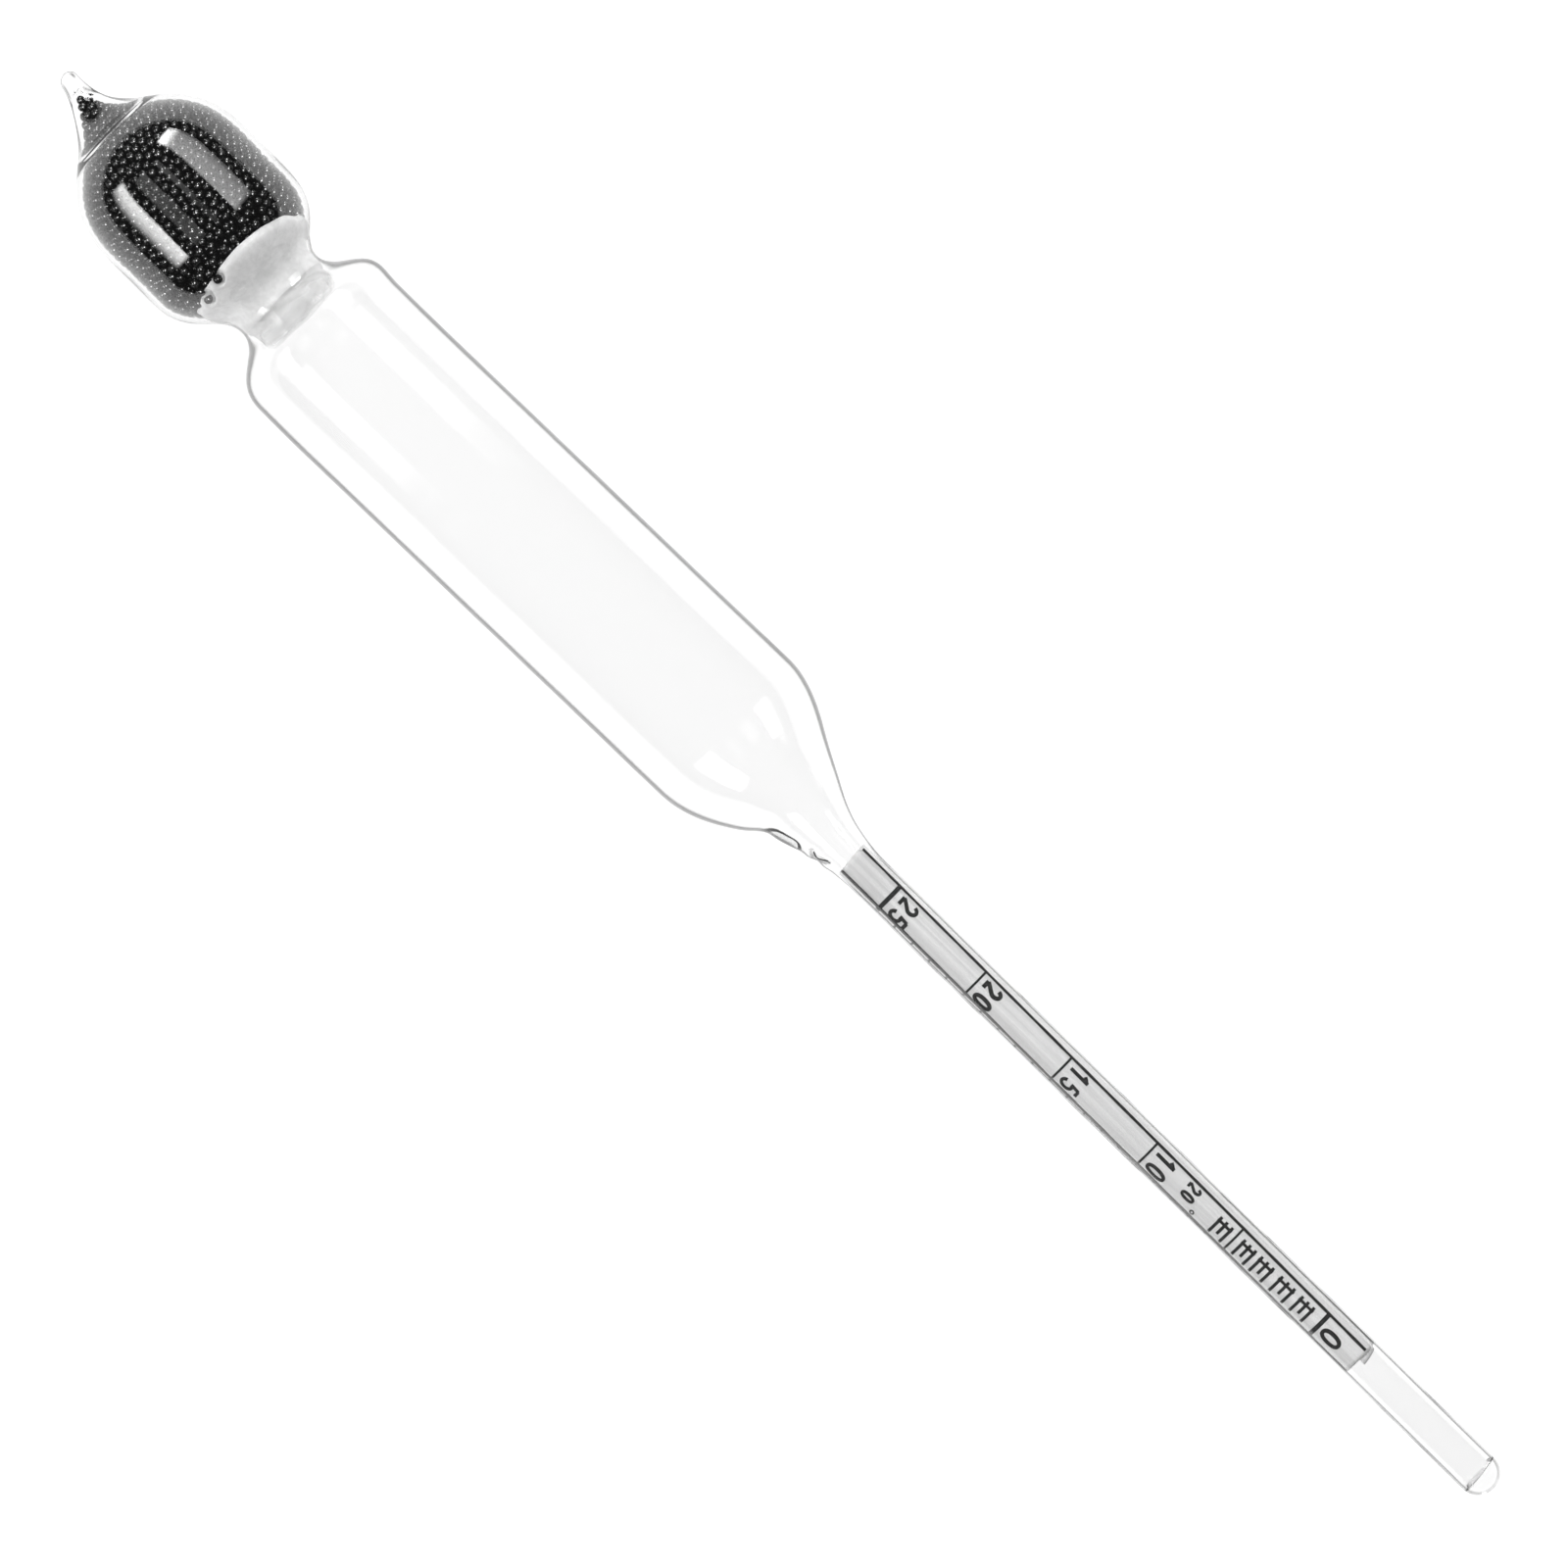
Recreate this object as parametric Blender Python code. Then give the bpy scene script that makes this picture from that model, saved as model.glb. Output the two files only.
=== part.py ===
"""Glass hydrometer lying on its side: blown float, paper scale in the stem, steel shot in the bulb.

The instrument's axis runs along X, from the nib of the bulb at -X to the closed end of the stem at +X.
The scale faces +Z. The origin is under the middle of the length, on the surface that the bulb lies on.
Inside each mesh, x is the station: the distance along the axis from the tip of the nib.
"""

import functools
import math

import bmesh
import bpy

MM = 0.001

# Driving dimensions of the glass.
TOTAL_LENGTH = 210.0 * MM
BULB_RADIUS = 9.97 * MM
BODY_RADIUS = 9.8 * MM
WAIST_RADIUS = 5.64 * MM
STEM_RADIUS = 2.295 * MM
NIB_RADIUS = 1.05 * MM
BODY_WALL = 0.5 * MM
STEM_WALL = 0.25 * MM

# Stations where one piece of glass meets the next.
CREASE = 7.7 * MM
WAIST = 32.2 * MM
WELD = 113.0 * MM
BORE_BOTTOM = 2.1 * MM
STEM_END_THICKNESS = 1.8 * MM
BORE_END_DISH = 0.4 * MM

# Ballast and plug. The shot's top slants, because the instrument leaned back while the plug set: it crosses
# the axis at the level and falls towards +Z by the tilt. It meets the glass between the two even stations.
SHOT_RADIUS = 0.5 * MM
SHOT_PITCH = 1.33 * MM
SHOT_LEVEL = 26.2 * MM
SHOT_TILT = 0.25
CHARGE_NOSE = 3.4 * MM
EVEN_BELOW = 22.0 * MM
EVEN_ABOVE = 31.0 * MM
PLUG_TOP = 35.0 * MM

# Scale card, rolled inwards from its outer radius, and the dabs of glue inside it.
CARD_BOTTOM = 116.0 * MM
CARD_TOP = 190.8 * MM
CARD_RADIUS = 1.95 * MM
CARD_THICKNESS = 0.15 * MM
CARD_LAYER_PITCH = 0.25 * MM
CARD_TURNS = 1.1
GLUE_HALF_SIZES = (0.9 * MM, 0.45 * MM, 0.25 * MM)
GLUE_DROP = 0.7 * MM
GLUE_FROM_CARD_END = 4.0 * MM

# Gap between neighbouring pieces, and how finely curves are divided.
CLEARANCE = 0.3 * MM
WIDE_SEGMENTS = 28
STEM_SEGMENTS = 24
CURVE_STEPS = 3
ARC_STEPS = 3
FINE_STEPS = 200
SETTLE_STEPS = 20
BALL_DETAIL = 2
WELD_DISTANCE = 1e-6
SMOOTH_ANGLE = math.radians(40)

# The outer outline of the glass, as (station, radius, slope) where it turns. A smooth curve joins them.
OUTLINE = [
    (NIB_RADIUS, NIB_RADIUS, 0.1),
    (4.5 * MM, 2.17 * MM, 0.55),
    (8.0 * MM, 5.4 * MM, 1.33),
    (12.0 * MM, 8.93 * MM, 0.5),
    (18.0 * MM, BULB_RADIUS, 0.0),
    (22.0 * MM, BULB_RADIUS, 0.0),
    (27.6 * MM, 8.84 * MM, -0.66),
    (29.7 * MM, 6.95 * MM, -1.05),
    (WAIST, WAIST_RADIUS, 0.0),
    (34.6 * MM, 7.25 * MM, 1.4),
    (36.2 * MM, 9.1 * MM, 0.75),
    (40.0 * MM, BODY_RADIUS, 0.0),
    (97.0 * MM, BODY_RADIUS, 0.0),
    (104.4 * MM, 7.34 * MM, -0.6),
    (109.3 * MM, 4.59 * MM, -0.5),
    (114.2 * MM, 2.79 * MM, -0.2),
    (118.5 * MM, STEM_RADIUS, 0.0),
    (TOTAL_LENGTH - STEM_RADIUS, STEM_RADIUS, 0.0),
]


# Colour, roughness, metallic value and alpha of each material.
FINISHES = {
    "clear_glass": ((0.95, 0.97, 0.97), 0.02, 0.0, 0.3),
    "dark_shot": ((0.12, 0.12, 0.125), 0.35, 1.0, 1.0),
    "plug_wax": ((0.5, 0.5, 0.49), 0.6, 0.0, 1.0),
    "scale_paper": ((0.62, 0.61, 0.58), 0.85, 0.0, 1.0),
    "dried_glue": ((0.7, 0.62, 0.42), 0.3, 0.0, 1.0),
}


def clear_scene():
    for old in list(bpy.data.objects):
        bpy.data.objects.remove(old, do_unlink=True)


def make_material(name):
    colour, roughness, metallic, alpha = FINISHES[name]
    material = bpy.data.materials.new(name)
    material.use_nodes = True
    shader = material.node_tree.nodes["Principled BSDF"]
    shader.inputs["Base Color"].default_value = (*colour, 1.0)
    shader.inputs["Roughness"].default_value = roughness
    shader.inputs["Metallic"].default_value = metallic
    shader.inputs["Alpha"].default_value = alpha
    return material


def make_object(name, shape, material, parent):
    """Links a finished shape as one object with its own material, under the empty on the axis."""
    mesh = bpy.data.meshes.new(name)
    shape.to_mesh(mesh)
    shape.free()
    mesh.materials.append(material)
    mesh.shade_smooth()
    mesh.set_sharp_from_angle(angle=SMOOTH_ANGLE)
    piece = bpy.data.objects.new(name, mesh)
    piece.parent = parent
    bpy.context.collection.objects.link(piece)
    return piece


def curve_point(start, end, station):
    """The point at a station between two points of the outline, each (station, radius, slope)."""
    (x0, r0, slope0), (x1, r1, slope1) = start, end
    span = x1 - x0
    t = (station - x0) / span
    rise = r1 - r0
    radius = (
        r0
        + rise * t * t * (3 - 2 * t)
        + span * slope0 * t * (1 - t) ** 2
        - span * slope1 * t * t * (1 - t)
    )
    slope = (
        6 * rise / span * t * (1 - t)
        + slope0 * (1 - t) * (1 - 3 * t)
        + slope1 * t * (3 * t - 2)
    )
    return station, radius, slope


def outline_between(low, high):
    """The outer outline from one station to another, with no more points than its curves need."""
    points = []
    for start, end in zip(OUTLINE, OUTLINE[1:]):
        first = max(low, start[0])
        last = min(high, end[0])
        if first >= last:
            continue
        straight = start[1] == end[1]
        steps = 1 if straight else CURVE_STEPS
        skip = 1 if points else 0
        for step in range(skip, steps + 1):
            station = first + (last - first) * step / steps
            points.append(curve_point(start, end, station))
    return points


def inset(points, depth):
    """The outline moved inwards by a depth, square to its surface, as (station, radius)."""
    moved = []
    for station, radius, slope in points:
        length = math.hypot(1, slope)
        moved.append((station + depth * slope / length, radius - depth / length))
    return moved


def quarter_arc(centre, radius, direction):
    """Points (station, radius) from a cylinder's end round to the axis, without the cylinder's own end."""
    turns = [math.pi / 2 * step / ARC_STEPS for step in range(1, ARC_STEPS)]
    arc = [(centre + direction * radius * math.sin(turn), radius * math.cos(turn)) for turn in turns]
    return arc + [(centre + direction * radius, 0.0)]


def turn(profile, segments, closed):
    """Spins a profile of (station, radius) about the axis. A closed profile makes an open-ended tube."""
    shape = bmesh.new()
    points = [shape.verts.new((station, 0.0, radius)) for station, radius in profile]
    following = points[1:] + points[:1] if closed else points[1:]
    edges = [shape.edges.new(pair) for pair in zip(points, following)]
    bmesh.ops.spin(
        shape,
        geom=points + edges,
        cent=(0, 0, 0),
        axis=(1, 0, 0),
        angle=math.tau,
        steps=segments,
    )
    bmesh.ops.remove_doubles(shape, verts=shape.verts, dist=WELD_DISTANCE)
    bmesh.ops.recalc_face_normals(shape, faces=shape.faces)
    return shape


def make_glass_section(low, high):
    """An open-ended length of the blown glass, between two stations of its outer outline."""
    outside = outline_between(low, high)
    outer = [(station, radius) for station, radius, _ in outside]
    inner = inset(outside, BODY_WALL)
    return turn(outer + inner[::-1], WIDE_SEGMENTS, closed=True)


def make_tip_seal():
    """The drawn-off cone at the end of the bulb, closed in a solid round nib."""
    outside = outline_between(NIB_RADIUS, CREASE - CLEARANCE / 2)
    dome = quarter_arc(NIB_RADIUS, NIB_RADIUS, -1)
    outer = dome[::-1] + [(station, radius) for station, radius, _ in outside]
    bore = inset(outline_between(BORE_BOTTOM, CREASE - CLEARANCE / 2), BODY_WALL)
    profile = outer + bore[::-1] + [(BORE_BOTTOM, 0.0)]
    return turn(profile, WIDE_SEGMENTS, closed=False)


def make_stem_tube():
    """The stem, from its flared foot at the weld to the thick round end that closes it."""
    barrel_end = TOTAL_LENGTH - STEM_RADIUS
    outside = outline_between(WELD + CLEARANCE / 2, barrel_end)
    outer = [(station, radius) for station, radius, _ in outside]
    outer += quarter_arc(barrel_end, STEM_RADIUS, 1)
    bore_radius = STEM_RADIUS - STEM_WALL
    bore_end = TOTAL_LENGTH - STEM_END_THICKNESS
    bore = inset(outside[:-1], STEM_WALL) + [(bore_end - BORE_END_DISH, bore_radius)]
    bore += [(bore_end - BORE_END_DISH * share**2, bore_radius * share) for share in (0.75, 0.4)]
    bore += [(bore_end, 0.0)]
    return turn(bore[::-1] + outer, STEM_SEGMENTS, closed=False)


@functools.cache
def fine_inset(depth):
    """The whole outline moved inwards by a depth, in short steps."""
    fine = [
        curve_point(start, end, start[0] + (end[0] - start[0]) * step / FINE_STEPS)
        for start, end in zip(OUTLINE, OUTLINE[1:])
        for step in range(FINE_STEPS)
    ]
    return inset(fine, depth)


def radius_inside(station, depth):
    """How far from the axis the glass's outline lies at a station, once it is moved inwards by a depth."""
    moved = fine_inset(depth)
    for (x0, r0), (x1, r1) in zip(moved, moved[1:]):
        if x0 <= station <= x1:
            return r0 + (r1 - r0) * (station - x0) / (x1 - x0)
    raise ValueError("the station is outside the glass")


def shot_plane(angle, radius, lift):
    """The station of the shot's slanting top, raised by a lift. Angles count from +Z about the axis."""
    return SHOT_LEVEL + lift - SHOT_TILT * radius * math.cos(angle)


def meet_wall(angle, lift, depth):
    """Where the slanting plane meets the inside of the glass, as (station, radius)."""
    station = SHOT_LEVEL
    radius = radius_inside(station, depth)
    for _ in range(SETTLE_STEPS):
        station = shot_plane(angle, radius, lift)
        radius = radius_inside(station, depth)
    return station, radius


def stretch_along_wall(start, end, depth):
    """Points along the inside of the glass from one station to another, without the last."""
    stations = [start + (end - start) * step / CURVE_STEPS for step in range(CURVE_STEPS)]
    return [(station, radius_inside(station, depth)) for station in stations]


def loft(profile_at):
    """A solid about the axis whose profile, from axis to axis, differs from one angle to the next."""
    shape = bmesh.new()
    rings = []
    for step in range(WIDE_SEGMENTS):
        angle = math.tau * step / WIDE_SEGMENTS
        profile = profile_at(angle)
        ring = [
            shape.verts.new((station, radius * math.sin(angle), radius * math.cos(angle)))
            for station, radius in profile
        ]
        rings.append(ring)
    for ring, other in zip(rings, rings[1:] + rings[:1]):
        for quad in zip(ring, ring[1:], other[1:], other):
            shape.faces.new(quad)
    bmesh.ops.remove_doubles(shape, verts=shape.verts, dist=WELD_DISTANCE)
    bmesh.ops.recalc_face_normals(shape, faces=shape.faces)
    return shape


def make_charge():
    """The packed shot, as one solid with the shape of the space that it fills, up to its slanting top."""
    depth = BODY_WALL + CLEARANCE
    even = inset(outline_between(CHARGE_NOSE, EVEN_BELOW), depth)

    def profile_at(angle):
        top = meet_wall(angle, 0.0, depth)
        side = stretch_along_wall(even[-1][0], top[0], depth)[1:]
        return [(CHARGE_NOSE, 0.0), *even, *side, top, (SHOT_LEVEL, 0.0)]

    return loft(profile_at)


def make_plug():
    """The poured plug: a boss inside the ring of top shot, a rim over it, a core up through the waist."""
    depth = BODY_WALL + CLEARANCE
    even = inset(outline_between(EVEN_ABOVE, PLUG_TOP), depth)
    room = SHOT_RADIUS + CLEARANCE

    def profile_at(angle):
        boss = meet_wall(angle, room, BODY_WALL + room)[1] - room
        rim = meet_wall(angle, 2 * room, depth)
        side = stretch_along_wall(rim[0], even[0][0], depth)
        return [
            (SHOT_LEVEL + CLEARANCE, 0.0),
            (shot_plane(angle, boss, CLEARANCE), boss),
            (shot_plane(angle, boss, 2 * room), boss),
            *side,
            *even,
            (even[-1][0], 0.0),
        ]

    return loft(profile_at)


def make_card():
    """The scale card, rolled a little over one turn so that its long edges overlap at the back."""
    steps = round(CARD_TURNS * STEM_SEGMENTS)
    shape = bmesh.new()
    rows = []
    for step in range(steps + 1):
        turned = step / STEM_SEGMENTS
        angle = -math.pi / 2 + math.tau * turned
        outer = CARD_RADIUS - CARD_LAYER_PITCH * turned
        rows.append(
            [
                shape.verts.new((CARD_BOTTOM, radius * math.cos(angle), radius * math.sin(angle)))
                for radius in (outer, outer - CARD_THICKNESS)
            ]
        )
    end = [shape.faces.new((a, b, d, c)) for (a, b), (c, d) in zip(rows, rows[1:])]
    grown = bmesh.ops.extrude_face_region(shape, geom=end)
    moved = [part for part in grown["geom"] if isinstance(part, bmesh.types.BMVert)]
    bmesh.ops.translate(shape, vec=(CARD_TOP - CARD_BOTTOM, 0, 0), verts=moved)
    bmesh.ops.recalc_face_normals(shape, faces=shape.faces)
    return shape


def make_ball(half_sizes):
    """A ball or a dab about its own centre, with the half sizes along X, Y and Z."""
    shape = bmesh.new()
    bmesh.ops.create_icosphere(shape, subdivisions=BALL_DETAIL, radius=1.0)
    bmesh.ops.scale(shape, vec=half_sizes, verts=shape.verts)
    return shape


def make_glass(parent):
    glass = make_material("clear_glass")
    half_gap = CLEARANCE / 2
    make_object("tip_seal", make_tip_seal(), glass, parent)
    make_object("ballast_bulb", make_glass_section(CREASE + half_gap, WAIST - half_gap), glass, parent)
    make_object("float_body", make_glass_section(WAIST + half_gap, WELD - half_gap), glass, parent)
    make_object("stem_tube", make_stem_tube(), glass, parent)


def make_ballast(parent):
    """The packed charge, the plug over it, and the ring of top shot between the two, against the glass."""
    steel = make_material("dark_shot")
    make_object("shot_charge", make_charge(), steel, parent)
    make_object("retaining_plug", make_plug(), make_material("plug_wax"), parent)
    room = SHOT_RADIUS + CLEARANCE
    _, ring_radius = meet_wall(math.pi / 2, room, BODY_WALL + room)
    count = int(math.tau * ring_radius / SHOT_PITCH)
    for index in range(count):
        angle = math.tau * index / count
        station, radius = meet_wall(angle, room, BODY_WALL + room)
        ball = make_object(f"top_shot_{index + 1:02d}", make_ball([SHOT_RADIUS] * 3), steel, parent)
        ball.location = (station, radius * math.sin(angle), radius * math.cos(angle))


def make_scale(parent):
    """The rolled card, and the dab of glue inside it near each end."""
    glue = make_material("dried_glue")
    make_object("scale_card", make_card(), make_material("scale_paper"), parent)
    dab_stations = {
        "card_glue_bottom": CARD_BOTTOM + GLUE_FROM_CARD_END,
        "card_glue_top": CARD_TOP - GLUE_FROM_CARD_END,
    }
    for name, station in dab_stations.items():
        dab = make_object(name, make_ball(GLUE_HALF_SIZES), glue, parent)
        dab.location = (station, 0.0, -GLUE_DROP)


def build():
    clear_scene()
    axis = bpy.data.objects.new("instrument_axis", None)
    axis.location = (-TOTAL_LENGTH / 2, 0.0, BULB_RADIUS)
    bpy.context.collection.objects.link(axis)
    make_glass(axis)
    make_ballast(axis)
    make_scale(axis)


build()
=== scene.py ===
"""Looks of the glass hydrometer: clear blown glass, loose steel shot, a wax plug and a printed paper scale.

Shapes are worked out in millimetres about the instrument's axis. A point is (station, angle, radius): the
station counts from the tip of the nib, and the angle counts from straight up towards -Y.
"""

import math

import bmesh
import bpy
import numpy as np
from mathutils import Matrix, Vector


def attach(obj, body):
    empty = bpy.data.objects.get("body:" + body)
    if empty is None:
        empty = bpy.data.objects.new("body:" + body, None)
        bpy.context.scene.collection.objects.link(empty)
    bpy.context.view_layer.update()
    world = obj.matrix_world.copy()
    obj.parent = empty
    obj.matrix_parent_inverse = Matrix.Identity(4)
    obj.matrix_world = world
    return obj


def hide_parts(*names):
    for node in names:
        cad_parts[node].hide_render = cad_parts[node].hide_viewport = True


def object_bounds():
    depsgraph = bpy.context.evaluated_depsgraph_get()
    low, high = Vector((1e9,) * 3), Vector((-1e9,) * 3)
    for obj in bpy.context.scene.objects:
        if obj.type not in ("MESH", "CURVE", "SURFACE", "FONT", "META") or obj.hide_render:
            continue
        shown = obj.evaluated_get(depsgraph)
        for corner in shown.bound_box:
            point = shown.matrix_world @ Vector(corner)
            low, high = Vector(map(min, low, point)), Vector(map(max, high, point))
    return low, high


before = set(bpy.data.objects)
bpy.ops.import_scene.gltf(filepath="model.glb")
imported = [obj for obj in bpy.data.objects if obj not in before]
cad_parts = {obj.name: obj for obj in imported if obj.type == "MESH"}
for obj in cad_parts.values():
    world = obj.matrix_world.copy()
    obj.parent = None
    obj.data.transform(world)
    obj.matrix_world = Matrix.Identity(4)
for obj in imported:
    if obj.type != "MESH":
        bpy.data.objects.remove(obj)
CAD_LOW, CAD_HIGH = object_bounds()

TOTAL_LENGTH = 210.0
MM = (CAD_HIGH.x - CAD_LOW.x) / TOTAL_LENGTH
BULB_RADIUS = 9.97
BODY_RADIUS = 9.8
WAIST_RADIUS = 5.64
STEM_RADIUS = 2.295
NIB_RADIUS = 1.05
SEED = 7

# The outside of the glass: station, radius and slope at each knot of a smooth curve.
OUTLINE = (
    (NIB_RADIUS, NIB_RADIUS, 0.1),
    (4.5, 2.17, 0.55),
    (8.0, 5.4, 1.33),
    (12.0, 8.93, 0.5),
    (18.0, BULB_RADIUS, 0.0),
    (22.0, BULB_RADIUS, 0.0),
    (27.6, 8.84, -0.66),
    (29.7, 6.95, -1.05),
    (32.2, WAIST_RADIUS, 0.0),
    (34.6, 7.25, 1.4),
    (36.2, 9.1, 0.75),
    (40.0, BODY_RADIUS, 0.0),
    (97.0, BODY_RADIUS, 0.0),
    (104.4, 7.34, -0.6),
    (109.3, 4.59, -0.5),
    (114.2, 2.79, -0.2),
    (118.5, STEM_RADIUS, 0.0),
    (TOTAL_LENGTH - STEM_RADIUS, STEM_RADIUS, 0.0),
)

# How far the axis of the blown glass wanders towards +Y, by station.
WANDER = (
    (0.0, 0.95), (1.3, 0.79), (3.3, 0.39), (4.6, 0.1), (6.3, 0.08), (9.0, 0.26), (14.0, 0.28),
    (20.0, 0.3), (25.0, 0.2), (29.0, 0.45), (32.0, 0.2), (35.0, 0.45), (39.0, -0.05), (45.0, -0.08),
    (98.0, 0.58), (104.0, 0.45), (109.0, 0.55), (111.5, 0.28), (114.0, 0.1), (118.0, 0.0),
    (TOTAL_LENGTH, 0.0),
)

# The ring where the bulb's cone was drawn off.
CREASE = 7.75

# Thickness of the glass wall, by station.
WALL = (
    (0.0, 0.72), (4.0, 0.72), (6.5, 0.6), (7.4, 0.6), (CREASE, 0.78), (8.1, 0.56), (27.0, 0.55),
    (30.0, 0.5), (32.2, 0.45), (36.0, 0.42), (40.0, 0.34), (97.0, 0.34), (108.0, 0.36), (114.0, 0.3),
    (119.0, 0.15), (TOTAL_LENGTH, 0.15),
)

# The cavity: its bottom and the edge of the bowl above it, and the stem's solid end.
BORE_BOTTOM = 2.1
BOWL_EDGE = 2.9
STEM_END_THICKNESS = 1.85
BORE_END_DISH = 0.4
# Where the painted shade on the cavity's far end begins.
CAP_SHADE_START = 207.7

# How strong the painted shade is where the glass is seen edge on, and how strongly the painted dark line
# along the stem's inner rim shows, by station.
RIM_SHADE_STRENGTH = (
    (0, 1.3), (6, 1.2), (8, 0.3), (28, 0.2), (33, 0.9), (40, 1.0), (116, 1.0), (120, 0.45),
    (TOTAL_LENGTH, 0.45),
)
PAINTED_RIM_LINE_STRENGTH = ((0, 0), (116, 0), (119, 1), (207, 1), (TOTAL_LENGTH, 0.4))


# ---------------------------------------------------------------- curves

def smooth_table(table, stations, blur=0.7):
    """Reads a table of (station, value) with its corners rounded off."""
    known, values = np.array(table).T
    spread = np.linspace(-1.5, 1.5, 7) * blur
    weights = np.exp(-(spread / blur) ** 2)
    total = sum(w * np.interp(stations + s, known, values) for s, w in zip(spread, weights))
    return total / weights.sum()


def outside(stations):
    """The outer radius of the glass at each station."""
    stations = np.asarray(stations, float)
    radius = np.zeros_like(stations)
    nib = stations < NIB_RADIUS
    radius[nib] = np.sqrt(np.maximum(0, NIB_RADIUS**2 - (NIB_RADIUS - stations[nib]) ** 2))
    for (x0, r0, slope0), (x1, r1, slope1) in zip(OUTLINE, OUTLINE[1:]):
        here = (stations >= x0) & (stations <= x1)
        span = x1 - x0
        t = (stations[here] - x0) / span
        rise = (r1 - r0) * t * t * (3 - 2 * t)
        start_bend = span * slope0 * t * (1 - t) ** 2
        end_bend = span * slope1 * t * t * (1 - t)
        radius[here] = r0 + rise + start_bend - end_bend
    dome = stations > OUTLINE[-1][0]
    radius[dome] = np.sqrt(np.maximum(0, STEM_RADIUS**2 - (stations[dome] - OUTLINE[-1][0]) ** 2))
    return radius


def wander(stations):
    """How far the axis lies towards +Y at each station."""
    return smooth_table(WANDER, stations, 1.2)


def inset(stations, depth):
    """Stations and radii of the outline moved inwards along its normal, in order of station."""
    radius = outside(stations)
    slope = np.gradient(radius, stations)
    size = np.hypot(1, slope)
    moved_x = stations + depth * slope / size
    moved_r = radius - depth / size
    keep = np.concatenate([[True], np.diff(np.maximum.accumulate(moved_x)) > 1e-4])
    return moved_x[keep], moved_r[keep]


FINE = np.linspace(2.2, 206.0, 4000)
INNER_X, INNER_R = inset(FINE, smooth_table(WALL, FINE, 0.3))


def inside(stations):
    """The inner radius of the glass at each station."""
    return np.interp(stations, INNER_X, INNER_R)


# ---------------------------------------------------------------- meshes

def place(x, angle, r, straight=False):
    """Row coordinates, in metres, of points given by station, angle and radius in millimetres."""
    x, angle, r = np.broadcast_arrays(x, angle, r)
    y = (0 if straight else wander(x)) - r * np.sin(angle)
    z = BULB_RADIUS + r * np.cos(angle)
    return np.stack([CAD_LOW.x + x * MM, y * MM, CAD_LOW.z + z * MM], -1)


def ring_faces(rows, columns, first=0, start_pole=None, end_pole=None, open_ring=False):
    """Triangles of a grid whose rows are rings. A pole is the index of a single point beyond an end row."""
    faces = []
    across = np.arange(columns - 1 if open_ring else columns)
    following = (across + 1) % columns
    for row in range(rows - 1):
        low, high = first + row * columns, first + (row + 1) * columns
        faces.append(np.stack([low + across, low + following, high + following], 1))
        faces.append(np.stack([low + across, high + following, high + across], 1))
    if start_pole is not None:
        faces.append(np.stack([np.full(len(across), start_pole), first + following, first + across], 1))
    if end_pole is not None:
        last = first + (rows - 1) * columns
        faces.append(np.stack([np.full(len(across), end_pole), last + across, last + following], 1))
    return np.concatenate(faces)


def volume(points, faces):
    """The signed volume that the triangles enclose."""
    a, b, c = (points[faces[:, i]] for i in range(3))
    return float(np.einsum("ij,ij->i", a, np.cross(b, c)).sum()) / 6


def turned_out(points, faces, inward=False):
    """The faces, wound so that the closed surface's normals point out, or in."""
    centred = points - points.mean(0)
    return faces if (volume(centred, faces) > 0) != inward else faces[:, ::-1]


def add_mesh(name, points, faces, material, smooth=True, floats=None):
    """A mesh object that rides on the instrument. floats holds per-point values by name."""
    mesh = bpy.data.meshes.new(name)
    mesh.vertices.add(len(points))
    mesh.vertices.foreach_set("co", np.asarray(points, np.float32).ravel())
    mesh.loops.add(faces.size)
    mesh.loops.foreach_set("vertex_index", np.ascontiguousarray(faces, np.int32).ravel())
    mesh.polygons.add(len(faces))
    mesh.polygons.foreach_set("loop_start", np.arange(0, faces.size, 3, dtype=np.int32))
    mesh.update(calc_edges=True)
    mesh.polygons.foreach_set("use_smooth", np.full(len(faces), smooth))
    for key, values in (floats or {}).items():
        layer = mesh.attributes.new(key, "FLOAT", "POINT")
        layer.data.foreach_set("value", np.asarray(values, np.float32))
    mesh.materials.append(material)
    obj = bpy.data.objects.new(name, mesh)
    bpy.context.scene.collection.objects.link(obj)
    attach(obj, "root")
    return obj


def wave(x, angle, seed, count=6, longest=30.0, shortest=6.0, most_turns=4):
    """A smooth random field over the glass, about -1 to 1, that closes on itself round the axis."""
    rng = np.random.default_rng(seed)
    total = 0
    for _ in range(count):
        turns = rng.integers(0, most_turns + 1)
        length = rng.uniform(shortest, longest)
        along = 2 * np.pi * (x / length + rng.random())
        total = total + np.sin(along + turns * angle + rng.uniform(0, 6.28))
    return total / count * 1.6


# ---------------------------------------------------------------- materials

def new_material(name):
    """A node material, its node tree and its Principled shader."""
    material = bpy.data.materials.new(name)
    material.use_nodes = True
    return material, material.node_tree, material.node_tree.nodes["Principled BSDF"]


def add_node(tree, kind, **inputs):
    """A node with the given input values. An underscore stands for a space in an input's name."""
    node = tree.nodes.new(kind)
    for key, value in inputs.items():
        node.inputs[key.replace("_", " ")].default_value = value
    return node


def noise(tree, scale, detail=4.0, roughness=0.55, stretch=(1, 1, 1)):
    """A noise texture over object coordinates in millimetres. Returns its value socket."""
    where = tree.nodes.new("ShaderNodeTexCoord")
    mapping = tree.nodes.new("ShaderNodeMapping")
    mapping.inputs["Scale"].default_value = [1 / MM * s for s in stretch]
    tree.links.new(where.outputs["Object"], mapping.inputs["Vector"])
    texture = add_node(tree, "ShaderNodeTexNoise", Scale=scale, Detail=detail, Roughness=roughness)
    tree.links.new(mapping.outputs["Vector"], texture.inputs["Vector"])
    return texture.outputs["Fac"]


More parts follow.
